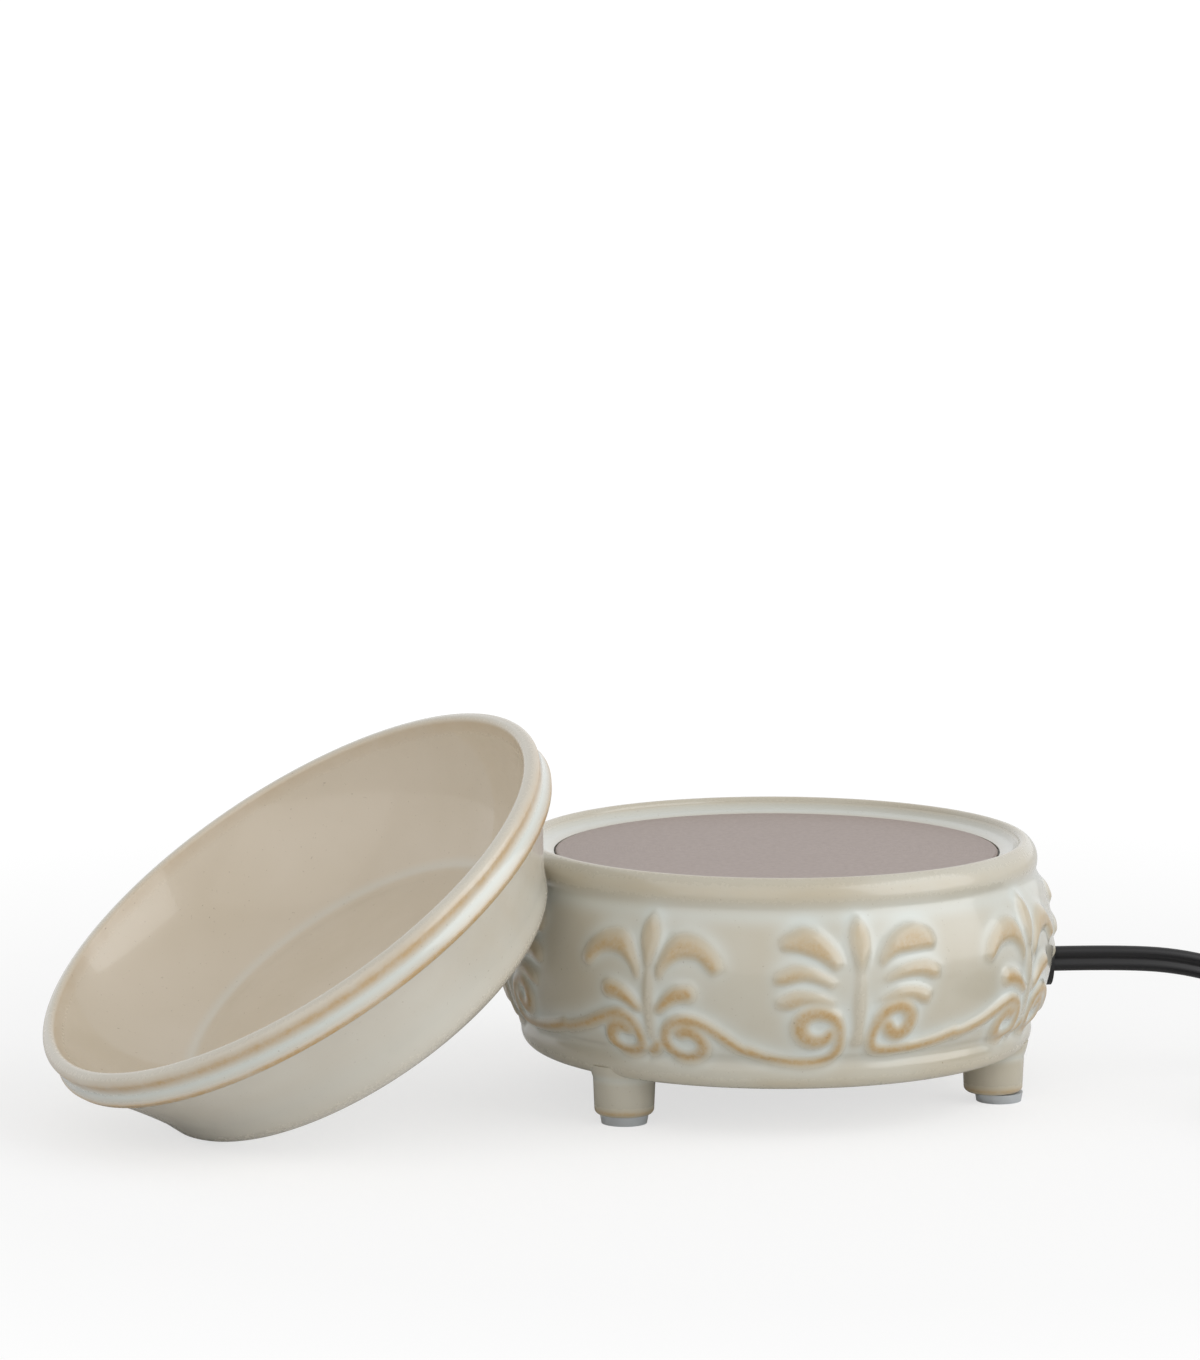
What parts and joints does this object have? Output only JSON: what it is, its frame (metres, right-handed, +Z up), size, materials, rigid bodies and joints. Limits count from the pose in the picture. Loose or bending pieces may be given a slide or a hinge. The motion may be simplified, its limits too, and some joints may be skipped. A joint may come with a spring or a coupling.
{
  "type": "electric candle warmer plate with wax dish",
  "caption": "Round ceramic warmer with a recessed heating plate on short feet, with a loose wax dish, mains cord, in-line switch and plug.",
  "frame": {"origin": "on the table, at the foot of the ceramic body's own axis", "axes": "+Z up along the body's axis, -Y towards the viewer, +X to the side where the cord leaves"},
  "size_m": [0.3987, 0.2245, 0.0862],
  "materials": {
    "glaze": "glossy cream reactive glaze, tan on the raised edges, pale blue where it pools",
    "dish_glaze": "glossy greige reactive glaze with a golden edge",
    "plate_coat": "satin taupe coating",
    "pad": "translucent silicone",
    "gasket": "grey silicone",
    "mica": "matt mica sheet",
    "ribbon": "stamped resistance alloy",
    "steel": "zinc-plated",
    "insulation": "pressed fibre",
    "shield": "pressed sheet",
    "cover": "satin paint",
    "grommet": "matt black",
    "cord": "semi-gloss black flexible jacket",
    "splice": "nylon closed-end sleeve",
    "wire": "glass-fibre sleeved wire",
    "cutoff": "drawn can",
    "tie": "black band",
    "switch_shell": "fine satin black",
    "wheel": "satin black, fluted",
    "brass": "bare brass",
    "plug_shell": "moulded black",
    "blade": "nickel-plated brass"
  },
  "bodies": {
    "warmer": {"housing": "glaze", "heating_plate": "plate_coat", "foot_pad_left": "pad", "foot_pad_right": "pad", "foot_pad_back": "pad", "plate_gasket": "gasket", "mica_upper": "mica", "mica_lower": "mica", "heating_ribbon": "ribbon", "heater_terminals": "steel", "heater_clamp": "steel", "clamp_nut": "steel", "centre_pillar": "steel", "cover_screw": "steel", "cutoff_clip": "steel", "switch_screws": "steel", "insulation_pad": "insulation", "heat_shield": "shield", "base_cover": "cover", "cord_bushing": "grommet", "cord_stop": "grommet", "cord_inlet": "cord", "cord_lead": "cord", "cord_run": "cord", "cord_coil": "cord", "cord_tail": "cord", "crimp_splices": "splice", "lead_wires": "wire", "thermal_cutoff": "cutoff", "coil_tie": "tie", "switch_upper_case": "switch_shell", "switch_lower_case": "switch_shell", "switch_contacts": "brass", "plug_body": "plug_shell", "plug_blades": "blade"},
    "switch_wheel": {"switch_wheel": "wheel"},
    "wax_dish": {"wax_dish": "dish_glaze"}
  },
  "joints": [
    {"name": "switch_wheel_turn", "type": "hinge", "parent": "warmer", "child": "switch_wheel", "pos_m": [0.169, 0.024, 0.0078], "axis": [0, 0, 1], "continuous": true},
    {"name": "wax_dish_lift", "type": "slide", "parent": "warmer", "child": "wax_dish", "axis": [0, 0, 1], "range_m": [0, 0.08]}
  ]
}
